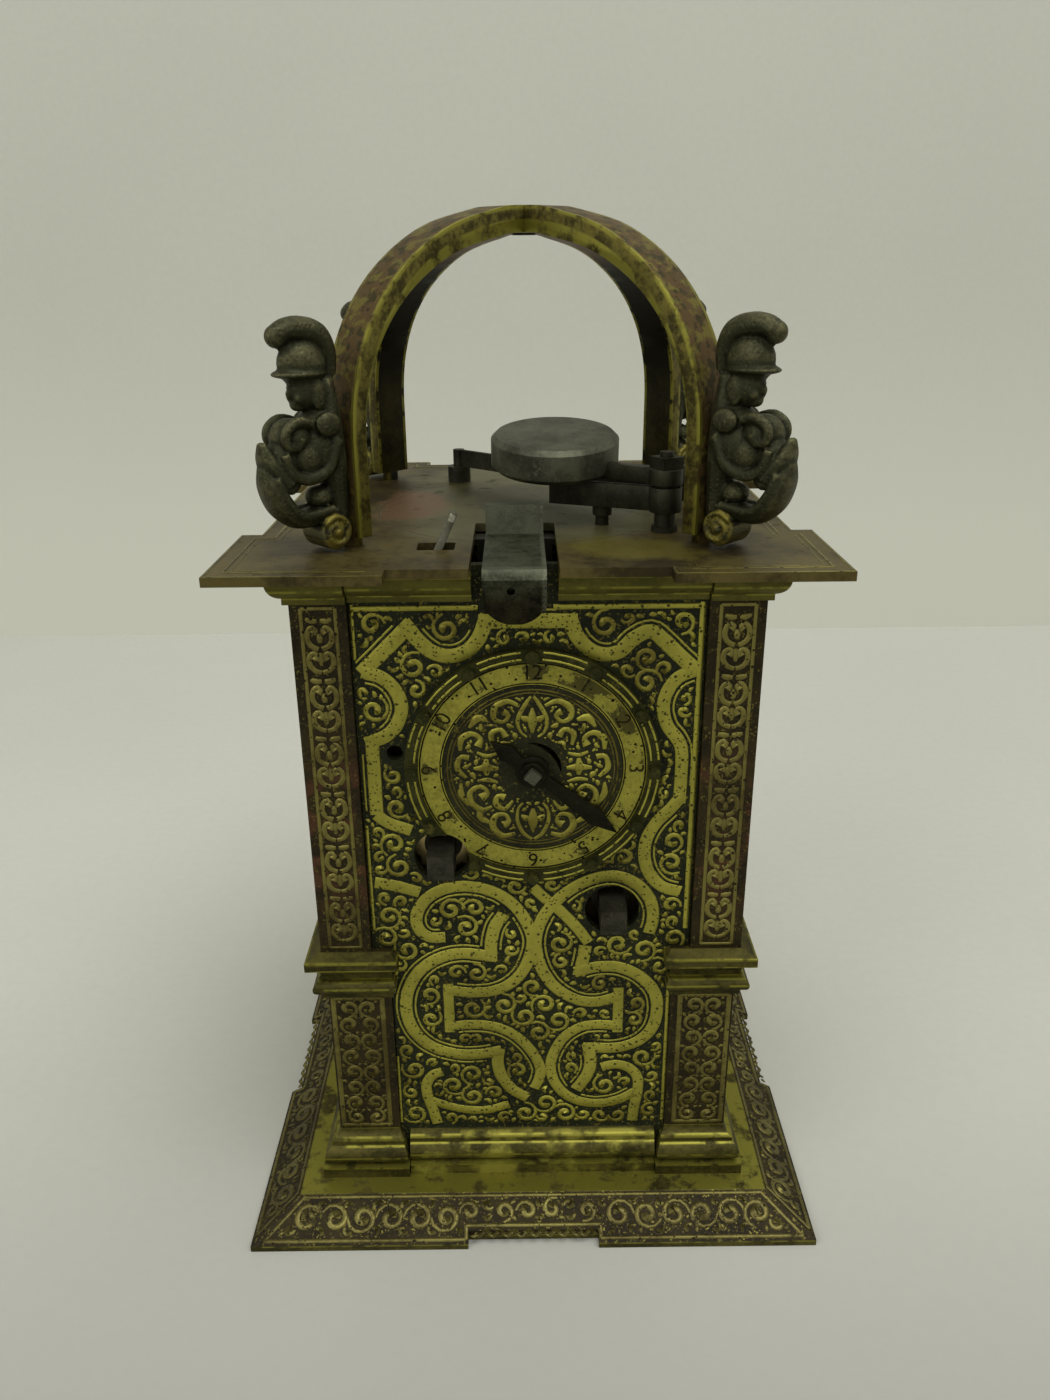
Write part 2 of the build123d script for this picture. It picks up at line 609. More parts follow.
def slab(points, half_width, share):
    """A side outline at full size in the middle, narrowed to a share of itself at both faces."""
    outline = make_face(Polyline(*points, close=True))
    centre = outline.center()
    sections = []
    for offset, size in ((-half_width, share), (-half_width / 3, 1), (half_width / 3, 1), (half_width, share)):
        small = Pos(centre.X, centre.Y) * scale(Pos(-centre.X, -centre.Y) * outline, size)
        sections.append(Pos(0, offset, 0) * (Plane.XZ * small))
    return loft(sections, ruled=True)


def flat_figure(points, half_width):
    """A side outline extruded to both sides."""
    return extrude(Plane.XZ * make_face(Polyline(*points, close=True)), half_width, both=True)


def figure():
    """A helmeted bust on a leafy bracket that ends in a volute, facing +X with its back at x = 0."""
    width = FIGURE_WIDTH / 2
    volute = (VOLUTE_RADIUS + 0.4, VOLUTE_RADIUS)
    body = extrude(Plane.XZ * (Pos(*volute) * Circle(VOLUTE_RADIUS)), width, both=True)
    body += extrude(Plane.XZ * (Pos(*volute) * Circle(VOLUTE_RADIUS * 0.4)), width + 0.4, both=True)
    body += block((0, -width * 0.6, VOLUTE_RADIUS), (2.4, width * 0.6, FIGURE_HEIGHT * 0.76))
    leaf = flat_figure(FIGURE_LEAF, width * 0.7) - flat_figure(FIGURE_OPENING, width)
    body += leaf + slab(FIGURE_CHEST, width, 0.55)
    body += slab(FIGURE_HEAD, width * 0.72, 0.55) + slab(FIGURE_HELMET, width * 0.92, 0.5)
    body += Pos(6.6, 0, 26.2) * Rot(0, 4, 0) * extrude(Ellipse(5.2, width * 1.15), 0.8)
    body += flat_figure(FIGURE_COMB, width * 0.34)
    return Pos(RIB_LEG_RADIUS, 0, PLATE_TOP) * body


def figures():
    """One figure outside each leg, facing out along the diagonals."""
    turns = {"front_left": 225, "front_right": 315, "back_left": 135, "back_right": 45}
    return {corner: Rot(0, 0, turn) * figure() for corner, turn in turns.items()}


def latch_side():
    """The latch seen from its side: thumb piece, flat, bend and leaning hook."""
    top = PLATE_TOP + SLOT_GAP
    under = top - LATCH_THICKNESS
    bend = -(PLATE_HALF - TOP_PLATE_RECESS) - LATCH_BEND_REACH
    foot = top - LATCH_HOOK_DROP
    thumb = LATCH_THUMB_Y
    return Polyline(
        (LATCH_PIVOT_Y, top),
        (thumb + LATCH_THICKNESS, top),
        (thumb + LATCH_THICKNESS, top + LATCH_THUMB_HEIGHT),
        (thumb, top + LATCH_THUMB_HEIGHT),
        (thumb, top),
        (bend, top),
        (bend - LATCH_THICKNESS / 2, under),
        (bend + LATCH_HOOK_LEAN - LATCH_THICKNESS, foot),
        (bend + LATCH_HOOK_LEAN, foot),
        (bend + LATCH_THICKNESS, under),
        (LATCH_PIVOT_Y, under),
        close=True,
    )


def front_latch():
    """The sprung steel catch that hooks over the dial panel, turning on a pin under the plate."""
    half = LATCH_WIDTH / 2
    strip = Pos(LATCH_X - half, 0, 0) * extrude(Plane.YZ * make_face(latch_side()), LATCH_WIDTH)
    pivot = PLATE_UNDER - LATCH_PIVOT_DROP
    hub = Pos(LATCH_X, LATCH_PIVOT_Y, pivot) * Rot(0, 90, 0) * Cylinder(LATCH_HUB_RADIUS, LATCH_WIDTH)
    web = block((LATCH_X - half, LATCH_PIVOT_Y - LATCH_HUB_RADIUS, pivot),
                (LATCH_X + half, LATCH_PIVOT_Y + LATCH_HUB_RADIUS * 0.4, PLATE_TOP + SLOT_GAP - LATCH_THICKNESS / 2))
    bore = Pos(LATCH_X, LATCH_PIVOT_Y, pivot) * Rot(0, 90, 0) * Cylinder(LATCH_PIN_RADIUS + BEARING_GAP,
                                                                        2 * LATCH_WIDTH)
    latch = strip + hub + web - bore
    foot = PLATE_TOP - LATCH_HOOK_DROP
    trim = Plane.XZ * (Pos(LATCH_X, foot + half) * Rectangle(4 * half, 2 * half)
                       - Pos(LATCH_X, foot + half) * Ellipse(half, half))
    trim = extrude(trim, SKIRT_HALF)
    trim &= block((LATCH_X - half, -SKIRT_HALF, foot - 1), (LATCH_X + half, LATCH_THUMB_Y * 1.7, foot + half * 0.55))
    hole = Plane.XZ * (Pos(LATCH_X - 0.5, PLATE_TOP - 3.2) * Circle(0.6))
    return latch - trim - extrude(hole, SKIRT_HALF)


def latch_bracket():
    """Two ears under the top plate, beside the latch's hub."""
    pivot = PLATE_UNDER - LATCH_PIVOT_DROP
    ears = []
    inner = LATCH_WIDTH / 2 + SLOT_GAP
    side = LATCH_WIDTH / 2 + LATCH_SIDE_GAP
    reach = LATCH_HUB_RADIUS + 0.4
    for sign in (-1, 1):
        ear = block((inner, LATCH_PIVOT_Y - reach, pivot - reach), (inner + LATCH_EAR_WIDTH, LATCH_PIVOT_Y + reach,
                                                                     PLATE_UNDER))
        foot = block((inner, LATCH_PIVOT_Y - reach, PLATE_UNDER - 1.0), (side + 4.0, LATCH_PIVOT_Y + reach,
                                                                         PLATE_UNDER))
        ear += foot
        ear -= Pos(0, LATCH_PIVOT_Y, pivot) * Rot(0, 90, 0) * Cylinder(LATCH_PIN_RADIUS + BEARING_GAP, 60)
        ear = ear if sign > 0 else mirror(ear, Plane.YZ)
        ears.append(Pos(LATCH_X, 0, 0) * ear)
    return ears


def latch_pin():
    """The pin through the ears and the hub."""
    length = LATCH_WIDTH + 2 * (LATCH_EAR_WIDTH + SLOT_GAP) + 0.8
    pivot = PLATE_UNDER - LATCH_PIVOT_DROP
    return Pos(LATCH_X, LATCH_PIVOT_Y, pivot) * Rot(0, 90, 0) * Cylinder(LATCH_PIN_RADIUS, length)


def release_lever():
    """The leaning steel blade that lets off the strike, on a pivot under the plate."""
    depth = RELEASE_DEPTH / 2
    pivot = PLATE_UNDER - RELEASE_DROP
    length = PLATE_TOP + RELEASE_HEIGHT - pivot
    blade = block((-RELEASE_THICKNESS / 2, -depth, 0), (RELEASE_THICKNESS / 2, depth, length))
    blade = chamfer(blade.edges().filter_by(Axis.X).group_by(Axis.Z)[-1], 1.0)
    hub = Rot(90, 0, 0) * Cylinder(1.5, RELEASE_DEPTH)
    lever = Rot(0, RELEASE_LEAN, 0) * blade + hub
    lever -= Rot(90, 0, 0) * Cylinder(LATCH_PIN_RADIUS + BEARING_GAP, 2 * RELEASE_DEPTH)
    return Pos(release_pivot()[0], RELEASE_Y, pivot) * lever


def release_pivot():
    """The pivot lies below the slot, so that the blade leans through its middle."""
    drop = RELEASE_DROP + TOP_PLATE_THICKNESS / 2
    return (RELEASE_X - drop * sin(radians(RELEASE_LEAN)), PLATE_UNDER - RELEASE_DROP)


def release_bracket():
    """Two ears and a pin under the plate for the release lever."""
    x, pivot = release_pivot()
    inner = RELEASE_DEPTH / 2 + SLOT_GAP
    bracket = block((x - 1.9, RELEASE_Y + inner, pivot - 1.8), (x + 1.9, RELEASE_Y + inner + 1.2, PLATE_UNDER))
    bracket += block((x - 1.9, RELEASE_Y - inner - 1.2, pivot - 1.8), (x + 1.9, RELEASE_Y - inner, PLATE_UNDER))
    pin = Pos(x, RELEASE_Y, pivot) * Rot(90, 0, 0) * Cylinder(LATCH_PIN_RADIUS, 2 * inner + 1.2)
    return bracket + pin


def hammer_arbor():
    """The upright hammer arbor, with a collar on the plate, a stud for the nut and a tail inside."""
    foot = PLATE_UNDER - HAMMER_ARBOR_DEPTH
    top = hammer_hub_bottom() + HAMMER_HUB_HEIGHT
    arbor = rod_z(HAMMER_POST, HAMMER_POST_RADIUS, foot, top)
    arbor += rod_z(HAMMER_POST, HAMMER_FLANGE_RADIUS, PLATE_TOP, PLATE_TOP + 0.9)
    arbor += rod_z(HAMMER_POST, HAMMER_STUD_RADIUS, top, PLATE_TOP + HAMMER_POST_HEIGHT)
    arbor += rod_z(HAMMER_POST, PIVOT_RADIUS, foot - FRAME_PLATE, foot)
    x, y = HAMMER_POST
    tail = block((x - 0.6, y, foot + 1.2), (x + 0.6, PIN_WHEEL_FRONT - 0.6, foot + 4.2))
    return arbor + tail


def hammer_hub_bottom():
    """The arm's hub turns just over the cock's bar."""
    return PLATE_TOP + HAMMER_COCK_HEIGHT + HAMMER_COCK_BAR - 0.4 + PLAY


def bar_between(start, end, thickness, bottom, top):
    """A flat bar on edge between two points of the plan."""
    run = (end[0] - start[0], end[1] - start[1])
    middle = ((start[0] + end[0]) / 2, (start[1] + end[1]) / 2, (bottom + top) / 2)
    return Pos(*middle) * Rot(0, 0, degrees(atan2(run[1], run[0]))) * Box(hypot(*run), thickness, top - bottom)


def hammer_disc():
    """The drum-shaped hammer head before it is slotted for its arm, tilted a little to the front."""
    disc = Cylinder(HAMMER_DISC_RADIUS, HAMMER_DISC_THICKNESS)
    disc = chamfer(disc.edges().filter_by(GeomType.CIRCLE), 0.8)
    x, y, height = HAMMER_DISC_CENTRE
    return Pos(x, y, PLATE_TOP + height) * Rot(HAMMER_DISC_TILT, 0, 0) * disc


def hammer_arm():
    """Hub, arm to the head, and a short tail whose pin meets the counter spring."""
    bottom = hammer_hub_bottom()
    top = bottom + HAMMER_HUB_HEIGHT
    arm = rod_z(HAMMER_POST, HAMMER_HUB_RADIUS, bottom, top)
    x, y, _ = HAMMER_DISC_CENTRE
    run = (x - HAMMER_POST[0], y - HAMMER_POST[1])
    share = 1 - (HAMMER_DISC_RADIUS - 2.6) / hypot(*run)
    end = (HAMMER_POST[0] + run[0] * share, HAMMER_POST[1] + run[1] * share)
    arm += bar_between(HAMMER_POST, end, 2.4, bottom, top)
    arm += bar_between(HAMMER_POST, HAMMER_TAIL_END, 1.8, bottom, top)
    arm += rod_z(HAMMER_TAIL_END, HAMMER_TAIL_PIN + 0.5, bottom, top)
    arm += rod_z(HAMMER_TAIL_END, HAMMER_TAIL_PIN, PLATE_TOP + HAMMER_COCK_HEIGHT, top)
    return arm - rod_z(HAMMER_POST, HAMMER_POST_RADIUS, bottom - 1, top + 1)


def hammer_nut():
    """The square nut that holds the arm on its stud."""
    bottom = hammer_hub_bottom() + HAMMER_HUB_HEIGHT
    nut = Pos(*HAMMER_POST, bottom + 0.9) * Rot(0, 0, 28) * Box(3.8, 3.8, 1.8)
    return nut - rod_z(HAMMER_POST, HAMMER_STUD_RADIUS, bottom - 1, bottom + 3)


def hammer_cock():
    """The fixed bar whose eye steadies the arbor; its peg is riveted in the plate."""
    bottom = PLATE_TOP + HAMMER_COCK_HEIGHT - 0.4
    top = bottom + HAMMER_COCK_BAR
    end = HAMMER_COCK_END
    cock = rod_z(HAMMER_POST, HAMMER_HUB_RADIUS, bottom, top)
    cock += bar_between(HAMMER_POST, end, 1.6, bottom, top)
    cock += rod_z(HAMMER_COCK_FOOT, COCK_PEG_RADIUS, PLATE_UNDER, top - 0.5)
    cock += rod_z(HAMMER_COCK_FOOT, COCK_PEG_RADIUS + 0.5, bottom - 1.6, bottom)
    return cock - rod_z(HAMMER_POST, HAMMER_POST_RADIUS + BEARING_GAP, PLATE_TOP, top + 1)


def hammer_counter_spring():
    """A long strip on edge from a foot at the back left to just behind the hammer's tail pin."""
    bottom = PLATE_TOP + 3.0
    top = bottom + 3.2
    thickness = 0.7
    clear = HAMMER_TAIL_PIN + PLAY + thickness / 2
    run = (HAMMER_TAIL_END[0] - SPRING_FOOT[0], HAMMER_TAIL_END[1] - SPRING_FOOT[1])
    length = hypot(*run)
    turn = asin(clear / length)
    angle = atan2(run[1], run[0]) + turn
    end = (SPRING_FOOT[0] + (length + 1.5) * cos(angle), SPRING_FOOT[1] + (length + 1.5) * sin(angle))
    spring = bar_between(SPRING_FOOT, end, thickness, bottom, top)
    spring += rod_z(SPRING_FOOT, COCK_PEG_RADIUS, PLATE_UNDER, top)
    spring += rod_z(SPRING_FOOT, COCK_PEG_RADIUS + 1.1, PLATE_TOP, bottom)
    return spring


def touch_ring():
    """The raised outer ring with one knob to feel at each hour, the one at twelve larger."""
    outer = TOUCH_RING_RADIUS
    inner = outer - TOUCH_RING_WIDTH
    ring = upright(Pos(*DIAL_CENTRE) * (Circle(outer) - Circle(inner)), FRONT_FACE - TOUCH_RING_THICKNESS,
                   TOUCH_RING_THICKNESS)
    knob_front = FRONT_FACE - TOUCH_RING_THICKNESS - TOUCH_KNOB_HEIGHT
    for hour in range(HOURS):
        size = TOUCH_KNOB_RADIUS * (1.2 if hour == 0 else 1)
        place = polar(DIAL_CENTRE, (outer + inner) / 2, 90 - hour * 360 / HOURS)
        ring += upright(Pos(*place) * RegularPolygon(size, 8), knob_front, TOUCH_KNOB_HEIGHT)
    return ring - winding_way()


def winding_way():
    """The winding hole where it passes through the edge of the dial rings."""
    return rod_y(GOING_CENTRE, WINDING_HOLE_RADIUS, -SKIRT_HALF, FRONT_FACE)


def chapter_ring():
    """The flat ring of the hour numerals."""
    ring = Pos(*DIAL_CENTRE) * (Circle(CHAPTER_RING_OUTER) - Circle(CHAPTER_RING_INNER))
    return upright(ring, FRONT_FACE - CHAPTER_RING_THICKNESS, CHAPTER_RING_THICKNESS) - winding_way()


def alarm_disc():
    """The disc inside the chapter ring, with a crescent hole to turn it by."""
    disc = Circle(CHAPTER_RING_INNER - SLOT_GAP) - Circle(DIAL_ARBOR_RADIUS + BEARING_GAP)
    middle = polar((0, 0), CRESCENT_SHIFT, CRESCENT_ANGLE + 180)
    crescent = Circle(CRESCENT_OUTER) - Pos(*middle) * Circle(CRESCENT_INNER)
    return upright(Pos(*DIAL_CENTRE) * (disc - crescent), FRONT_FACE - ALARM_DISC_THICKNESS, ALARM_DISC_THICKNESS)


def hour_hand():
    """The single hand: a long tapering pointer, a hub and a short leaf-shaped tail."""
    outline = Circle(HAND_HUB_RADIUS)
    for reach, waist, widest in ((HAND_TIP, 0.15, 0.74), (-HAND_TAIL, 0.35, 0.62)):
        side = [(0, HAND_WAIST), (reach * waist, HAND_WAIST), (reach * widest, HAND_SHOULDER)]
        other = [(x, -y) for x, y in reversed(side)]
        outline += make_face(Polyline(*side, (reach, 0), *other, close=True))
    outline -= Rectangle(hand_square(), hand_square())
    outline = Pos(*DIAL_CENTRE) * Rot(0, 0, HAND_ANGLE) * outline
    return upright(outline, hand_front(), HAND_THICKNESS)


def hand_square():
    """The side of the square on the dial arbor."""
    return DIAL_ARBOR_RADIUS * 1.34


def hand_front():
    """The hand turns just in front of the alarm disc's washer."""
    return FRONT_FACE - ALARM_DISC_THICKNESS - 2 * PLAY - HAND_THICKNESS


def hand_washer():
    """The domed washer and pin that keep the hand on its square."""
    front = hand_front() - 0.9
    washer = Pos(*DIAL_CENTRE) * Rot(0, 0, HAND_ANGLE) * (Circle(2.0) - Rectangle(hand_square(), hand_square()))
    return upright(washer, front, 0.9)


def dial_arbor():
    """The arbor of the hand, round through the frame and squared in front of the dial."""
    arbor = rod_y(DIAL_CENTRE, DIAL_ARBOR_RADIUS, FRONT_FACE - ALARM_DISC_THICKNESS - PLAY, FRAME_BACK)
    square = Pos(*DIAL_CENTRE) * Rot(0, 0, HAND_ANGLE) * Rectangle(hand_square(), hand_square())
    arbor += upright(square, hand_front() - 1.9, 3.4)
    return arbor + rod_y(DIAL_CENTRE, PIVOT_RADIUS, FRAME_BACK, FRAME_BACK + FRAME_PLATE)


def wheel_outline(teeth, module, phase, tip=0.75, root=1.15):
    """A toothed outline with pointed teeth; one tooth points along the phase angle."""
    pitch = teeth * module / 2
    step = 360 / teeth
    points = []
    for tooth in range(teeth):
        angle = phase + tooth * step
        points.append(polar((0, 0), pitch - root * module, angle - 0.30 * step))
        points.append(polar((0, 0), pitch + tip * module, angle))
        points.append(polar((0, 0), pitch - root * module, angle + 0.30 * step))
    return make_face(Polyline(*points, close=True))


def pinion_outline(leaves, module, phase, tip=0.55, root=1.05):
    """A pinion outline with narrow blunt leaves."""
    pitch = leaves * module / 2
    step = 360 / leaves
    points = []
    for leaf in range(leaves):
        angle = phase + leaf * step
        for radius, share in ((pitch - root * module, -0.19), (pitch + tip * module, -0.06),
                              (pitch + tip * module, 0.06), (pitch - root * module, 0.19)):
            points.append(polar((0, 0), radius, angle + share * step))
    return make_face(Polyline(*points, close=True))


def crossed_wheel(centre, teeth, module, phase, front, bore):
    """A train wheel with four arms between rim and hub."""
    pitch = teeth * module / 2
    rim = pitch - 1.15 * module - 1.1
    hub = bore + 1.5
    flat = wheel_outline(teeth, module, phase) - Circle(rim) + Circle(hub)
    for turn in (0, 90):
        flat += Rot(0, 0, phase + turn) * Rectangle(2 * rim + 0.4, 1.3)
    return upright(Pos(*centre) * (flat - Circle(bore)), front, WHEEL_THICKNESS)


def pinion(centre, leaves, module, phase, front, length):
    """The leaves of a pinion."""
    return upright(Pos(*centre) * pinion_outline(leaves, module, phase), front, length)


def arbor_between_plates(centre, radius, back_end=None):
    """An arbor with a pivot in each frame plate."""
    front = FRAME_FRONT + FRAME_PLATE
    back = FRAME_BACK
    arbor = rod_y(centre, radius, front + PLAY, back - PLAY)
    arbor += rod_y(centre, PIVOT_RADIUS, FRAME_FRONT, front + PLAY)
    end = back + FRAME_PLATE if back_end is None else back_end
    return arbor + rod_y(centre, PIVOT_RADIUS, back - PLAY, end)


def barrel(centre, phase):
    """A spring barrel with its great wheel behind, turning freely on its arbor."""
    back = GREAT_FRONT
    bore = BARREL_ARBOR_RADIUS + BEARING_GAP
    drum = upright(Pos(*centre) * (Circle(BARREL_RADIUS) - Circle(bore)), BARREL_FRONT, BARREL_LENGTH)
    room = Circle(BARREL_RADIUS - BARREL_WALL) - Circle(BARREL_WALL)
    drum -= upright(Pos(*centre) * room, BARREL_FRONT + BARREL_WALL, BARREL_LENGTH - 2 * BARREL_WALL)
    flat = wheel_outline(WHEEL_TEETH, GREAT_MODULE, phase) - Circle(bore)
    return drum + upright(Pos(*centre) * flat, back, WHEEL_THICKNESS)


def report_wheel():
    """The wheel on the going barrel's pipe that drives the hour wheel."""
    bore = BARREL_ARBOR_RADIUS + BEARING_GAP
    pipe = Pos(*GOING_CENTRE) * (Circle(REPORT_PIPE_RADIUS) - Circle(bore))
    wheel = Pos(*GOING_CENTRE) * (wheel_outline(REPORT_TEETH, REPORT_MODULE, REPORT_ANGLE, 0.6, 0.9) - Circle(bore))
    return upright(pipe, REPORT_FRONT, BARREL_FRONT - REPORT_FRONT) + upright(wheel, REPORT_FRONT, WHEEL_THICKNESS)


def hour_wheel():
    """The wheel that carries the dial arbor round once in twelve hours."""
    pitch = HOUR_TEETH * REPORT_MODULE / 2
    rim = pitch - 3.2
    flat = wheel_outline(HOUR_TEETH, REPORT_MODULE, HOUR_PHASE, 0.6, 0.9) - Circle(rim) + Circle(3.2)
    for turn in (0, 90):
        flat += Rot(0, 0, HOUR_PHASE + turn) * Rectangle(2 * rim + 0.4, 2.0)
    return upright(Pos(*DIAL_CENTRE) * (flat - Circle(DIAL_ARBOR_RADIUS)), REPORT_FRONT, WHEEL_THICKNESS)


def barrel_arbor(centre):
    """A winding arbor: square at the panel, round through the barrel, thinner at the ratchet."""
    front = FRONT_FACE - WINDING_SQUARE_PROUD
    square = Pos(*centre) * Rectangle(WINDING_SQUARE, WINDING_SQUARE)
    arbor = upright(square, front, REPORT_FRONT - front)
    arbor += rod_y(centre, BARREL_ARBOR_RADIUS, REPORT_FRONT, FRAME_BACK - PLAY)
    return arbor + rod_y(centre, BARREL_ARBOR_REAR_RADIUS, FRAME_BACK - PLAY, RATCHET_FRONT + RATCHET_THICKNESS + 0.6)


def mainspring(centre):
    """A coiled spring: half turns of growing radius, struck from two centres in turn."""
    inner = BARREL_ARBOR_RADIUS + 0.4
    outer = BARREL_RADIUS - BARREL_WALL - 0.15
    step = (outer - inner - SPRING_THICKNESS) / (2 * SPRING_TURNS)
    coil = Sketch()
    for half_turn in range(2 * SPRING_TURNS):
        radius = inner + step * (half_turn + 0.5)
        side = 1 if half_turn % 2 else -1
        ring = Circle(radius + SPRING_THICKNESS) - Circle(radius)
        ring &= Pos(0, side * 25) * Rectangle(60, 50)
        coil += Pos(side * step / 2, 0) * ring
    gap = BARREL_WALL + 0.2
    return upright(Pos(*centre) * coil, BARREL_FRONT + gap, BARREL_LENGTH - 2 * gap)


def ratchet(centre):
    """The ratchet wheel on the winding arbor's back end."""
    points = []
    for tooth in range(RATCHET_TEETH):
        angle = tooth * 360 / RATCHET_TEETH
        points.append(polar((0, 0), RATCHET_RADIUS, angle))
        points.append(polar((0, 0), RATCHET_RADIUS - 1.1, angle + 3))
    flat = make_face(Polyline(*points, close=True)) - Circle(BARREL_ARBOR_REAR_RADIUS)
    return upright(Pos(*centre) * flat, RATCHET_FRONT, RATCHET_THICKNESS)


def click(centre, side):
    """A one-piece spring click screwed to the back plate, its nose over the ratchet's teeth."""
    back = FRAME_BACK + FRAME_PLATE
    nose = (centre[0], centre[1] - RATCHET_RADIUS - 0.15)
    outer = RATCHET_RADIUS + 2.4
    arm = Circle(outer) - Circle(outer - 0.9)
    arm &= Pos(side * outer / 2, -outer / 2) * Rectangle(outer * 1.02, outer * 1.02)
    flat = Pos(*centre) * arm
    flat += Pos(nose[0], nose[1] - 1.2) * Rectangle(1.6, 2.4)
    foot = (centre[0] + side * (outer - 0.5), centre[1])
    flat += Pos(foot[0], foot[1] + 1.2) * Rectangle(2.6, 4.4)
    body = upright(flat, back + 0.4, RATCHET_THICKNESS)
    return body + rod_y((foot[0], foot[1] + 1.4), 1.0, back, back + 0.4 + RATCHET_THICKNESS + 0.7)


def second_wheel():
    """Second wheel of the going train, with its pinion in the great wheel."""
    wheel = crossed_wheel(SECOND_CENTRE, WHEEL_TEETH, SECOND_MODULE, 0, SECOND_FRONT, ARBOR_RADIUS * 0.9)
    leaves = pinion(SECOND_CENTRE, PINION_LEAVES, GREAT_MODULE, SECOND_PINION_PHASE, GREAT_FRONT - 0.5,
                    WHEEL_THICKNESS + 1.0)
    return arbor_between_plates(SECOND_CENTRE, ARBOR_RADIUS) + leaves + wheel


def contrate_pitch():
    """The pitch radius of the contrate wheel."""
    return WHEEL_TEETH * CONTRATE_MODULE / 2


def contrate_wheel():
    """The wheel whose teeth stand up from its rim, driving the escape wheel's arbor."""
    pitch = contrate_pitch()
    half_rim = 0.5
    flat = Circle(pitch + half_rim) - Circle(pitch - half_rim - 0.5) + Circle(2.0)
    for turn in (0, 90):
        flat += Rot(0, 0, turn) * Rectangle(2 * pitch - 0.6, 1.2)
    wheel = upright(flat, CONTRATE_FRONT, 1.1)
    wheel += upright(Circle(pitch + half_rim) - Circle(pitch - half_rim), CONTRATE_FRONT, CONTRATE_TIP - CONTRATE_FRONT)
    depth = 1.5
    width = 2 * pi * pitch / WHEEL_TEETH
    notch = make_face(Polyline((-0.5 * width, 1), (-0.5 * width, 0), (-0.19 * width, -depth), (0.19 * width, -depth),
                               (0.5 * width, 0), (0.5 * width, 1), close=True))
    cut = Pos(pitch - half_rim - 0.6, CONTRATE_TIP, 0) * extrude(Plane((0, 0, 0), x_dir=(0, 0, 1), z_dir=(1, 0, 0))
                                                                * notch, 2 * half_rim + 1.2)
    cuts = [Rot(0, tooth * 360 / WHEEL_TEETH, 0) * cut for tooth in range(WHEEL_TEETH)]
    wheel = Pos(CONTRATE_CENTRE[0], 0, CONTRATE_CENTRE[1]) * (wheel - cuts)
    leaves = pinion(CONTRATE_CENTRE, PINION_LEAVES, SECOND_MODULE, CONTRATE_PINION_PHASE, SECOND_FRONT - 0.4,
                    WHEEL_THICKNESS + 0.8)
    return wheel + arbor_between_plates(CONTRATE_CENTRE, ARBOR_RADIUS) + leaves


def along_x(sketch, start, length):
    """A sketch in the plane across X, its own x to the back and its y up, given a length along X."""
    plane = Plane((start, ESCAPE_Y, ESCAPE_Z), x_dir=(0, 1, 0), z_dir=(1, 0, 0))
    return extrude(plane * sketch, length)


def escape_wheel():
    """The crown wheel of the verge escapement on its cross arbor."""
    base = ESCAPE_TIP_X - ESCAPE_BAND
    wheel = along_x(Circle(ESCAPE_RADIUS) - Circle(ESCAPE_RADIUS - 0.55), base, ESCAPE_BAND)
    spokes = Circle(ESCAPE_RADIUS - 0.3) - Circle(ESCAPE_RADIUS - 1.3) + Circle(1.5)
    for turn in (0, 90):
        spokes += Rot(0, 0, turn) * Rectangle(2 * ESCAPE_RADIUS - 1.4, 1.1)
    wheel += along_x(spokes, base, 0.8)
    pitch = 2 * pi * ESCAPE_RADIUS / ESCAPE_TEETH
    notch = make_face(Polyline((1, -0.47 * pitch), (0, -0.47 * pitch), (-ESCAPE_TOOTH, 0.30 * pitch),
                               (0, 0.47 * pitch), (1, 0.47 * pitch), close=True))
    plane = Plane((ESCAPE_TIP_X, 0, 0), x_dir=(1, 0, 0), z_dir=(0, -1, 0))
    cut = Pos(0, ESCAPE_RADIUS + 1.5, 0) * extrude(plane * notch, 3.0)
    cuts = [Pos(0, ESCAPE_Y, ESCAPE_Z) * Rot(ESCAPE_PHASE + tooth * 360 / ESCAPE_TEETH, 0, 0) * cut
            for tooth in range(ESCAPE_TEETH)]
    wheel -= cuts
    wheel += along_x(Circle(ARBOR_RADIUS), ESCAPE_LEFT_END, ESCAPE_TIP_X - ESCAPE_LEFT_END)
    wheel += along_x(Circle(PIVOT_RADIUS * 0.7), ESCAPE_LEFT_END - 1.2, ESCAPE_TIP_X + 2.2 - ESCAPE_LEFT_END)
    leaves = pinion_outline(PINION_LEAVES, CONTRATE_MODULE, ESCAPE_PINION_PHASE)
    return wheel + along_x(leaves, ESCAPE_PINION_X - 1.4, 2.8)


def verge():
    """The verge: a staff with two pallets set at right angles, one at each side of the crown wheel."""
    centre = (VERGE_X, ESCAPE_Z)
    front = ESCAPE_Y - ESCAPE_RADIUS - 2.2
    staff = rod_y(centre, VERGE_RADIUS, front, BALANCE_FRONT + BALANCE_THICKNESS)
    staff += rod_y(centre, PIVOT_RADIUS * 0.7, front - 1.2, BALANCE_FRONT + BALANCE_THICKNESS + 1.2)
    for side, angle in ((-1, 135), (1, 225)):
        pallet = Pos(*centre) * Rot(0, 0, angle) * Pos(PALLET_REACH / 2, 0) * Rectangle(PALLET_REACH, 0.5)
        staff += upright(pallet, ESCAPE_Y + side * (ESCAPE_RADIUS - 0.3) - 0.8, 1.6)
    return staff


def balance():
    """The plain balance wheel on the end of the verge, with two spokes and no spring."""
    flat = Circle(BALANCE_RADIUS) - Circle(BALANCE_RADIUS - 1.2) + Circle(2.0)
    flat += Rectangle(2 * BALANCE_RADIUS - 1.4, 1.4)
    flat -= Circle(VERGE_RADIUS)
    return upright(Pos(VERGE_X, ESCAPE_Z) * flat, BALANCE_FRONT, BALANCE_THICKNESS)


